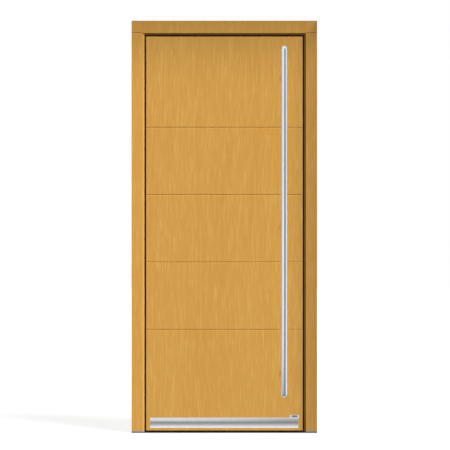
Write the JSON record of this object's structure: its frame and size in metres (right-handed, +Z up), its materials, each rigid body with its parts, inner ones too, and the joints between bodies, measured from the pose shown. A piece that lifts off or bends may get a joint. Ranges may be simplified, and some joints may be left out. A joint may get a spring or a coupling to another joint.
{
  "type": "panelled front door with frame",
  "caption": "Inward-opening entrance door in its wooden frame, grooved outer panel, long steel pull bar, kickplate, barrel hinges and a multipoint lock.",
  "frame": {"origin": "middle of the underside of the threshold plate, half way through the frame's depth", "axes": "+X from the hinge side to the lock side, +Y from outside to the room, +Z up"},
  "size_m": [0.99, 0.223, 2.2],
  "materials": {
    "frame_wood": "satin lacquered vertical-grain veneer",
    "leaf_wood": "satin lacquered vertical-grain veneer",
    "insulation": "rigid foam",
    "seal_rubber": "matte",
    "threshold_metal": "anodised satin",
    "foot_plastic": "matte",
    "stainless": "brushed",
    "screw_steel": "plain",
    "lock_steel": "zinc plated"
  },
  "bodies": {
    "frame": {"frame_header": "frame_wood", "hinge_jamb": "frame_wood", "lock_jamb": "frame_wood", "hinge_jamb_foot": "foot_plastic", "lock_jamb_foot": "foot_plastic", "threshold": "threshold_metal", "frame_gasket": "seal_rubber", "frame_screws": "screw_steel", "main_strike_plate": "stainless", "upper_strike_plate": "stainless", "lower_strike_plate": "stainless", "strike_screws": "screw_steel", "electric_strike": "lock_steel", "keeper_pin": "lock_steel", "frame_hinge_screws": "screw_steel", "bottom_frame_hinge": "stainless", "middle_frame_hinge": "stainless", "top_frame_hinge": "stainless", "hinge_pins": "stainless"},
    "leaf": {"outer_panel": "leaf_wood", "inner_panel": "leaf_wood", "hinge_stile": "leaf_wood", "lock_stile": "leaf_wood", "top_rail": "leaf_wood", "bottom_rail": "leaf_wood", "insulation_core": "insulation", "leaf_gasket": "seal_rubber", "bottom_seal_carrier": "threshold_metal", "bottom_seal_lip": "seal_rubber", "kickplate": "stainless", "pull_bar": "stainless", "bottom_bar_post": "stainless", "middle_bar_post": "stainless", "top_bar_post": "stainless", "pull_bar_bolts": "stainless", "bottom_leaf_hinge": "stainless", "middle_leaf_hinge": "stainless", "top_leaf_hinge": "stainless", "leaf_hinge_screws": "screw_steel", "lock_faceplate": "stainless", "faceplate_screws": "screw_steel", "lock_case": "lock_steel", "lock_case_cover": "lock_steel", "upper_bolt_case": "lock_steel", "lower_bolt_case": "lock_steel", "latch_spring": "lock_steel", "lever_rose": "stainless", "thumbturn_rose": "stainless"},
    "lever": {"lever_handle": "stainless", "lever_spindle": "lock_steel", "lock_follower": "lock_steel"},
    "latch": {"latch_bolt": "lock_steel"},
    "thumbturn": {"thumbturn_knob": "stainless", "thumbturn_pinion": "lock_steel"},
    "drive": {"drive_rail": "lock_steel"},
    "main_bolt": {"deadbolt": "lock_steel"},
    "top_bolt": {"upper_bolt": "lock_steel"},
    "bottom_bolt": {"lower_bolt": "lock_steel"},
    "keeper": {"strike_keeper": "lock_steel"}
  },
  "joints": [
    {"name": "leaf_swing", "type": "hinge", "parent": "frame", "child": "leaf", "pos_m": [-0.4515, 0.054, 1.08], "axis": [0, 0, 1], "range_deg": [0, 110]},
    {"name": "lever_turn", "type": "hinge", "parent": "leaf", "child": "lever", "pos_m": [0.38, 0, 1.05], "axis": [0, -1, 0], "range_deg": [0, 40], "stiffness_Nm_per_rad": 1.2, "springref_deg": -20.05},
    {"name": "latch_slide", "type": "slide", "parent": "leaf", "child": "latch", "axis": [-1, 0, 0], "range_m": [0, 0.0121], "deforming": ["latch_spring"]},
    {"name": "thumbturn_turn", "type": "hinge", "parent": "leaf", "child": "thumbturn", "pos_m": [0.38, 0, 0.958], "axis": [0, -1, 0], "range_deg": [0, 90]},
    {"name": "drive_slide", "type": "slide", "parent": "leaf", "child": "drive", "axis": [0, 0, 1], "range_m": [0, 0.02003]},
    {"name": "main_bolt_slide", "type": "slide", "parent": "leaf", "child": "main_bolt", "axis": [1, 0, 0], "range_m": [0, 0.0201]},
    {"name": "top_bolt_slide", "type": "slide", "parent": "leaf", "child": "top_bolt", "axis": [1, 0, 0], "range_m": [0, 0.0201]},
    {"name": "bottom_bolt_slide", "type": "slide", "parent": "leaf", "child": "bottom_bolt", "axis": [1, 0, 0], "range_m": [0, 0.0201]},
    {"name": "keeper_swing", "type": "hinge", "parent": "frame", "child": "keeper", "pos_m": [0.456, -0.001, 1.085], "axis": [0, 0, 1], "range_deg": [0, 45]}
  ],
  "couplings": [
    {"joint": "latch_slide", "follows": "lever_turn", "m_per_rad": 0.017189},
    {"joint": "thumbturn_turn", "follows": "drive_slide", "rad_per_m": 78.431},
    {"joint": "main_bolt_slide", "follows": "drive_slide", "ratio": 1},
    {"joint": "top_bolt_slide", "follows": "drive_slide", "ratio": 1},
    {"joint": "bottom_bolt_slide", "follows": "drive_slide", "ratio": 1}
  ]
}
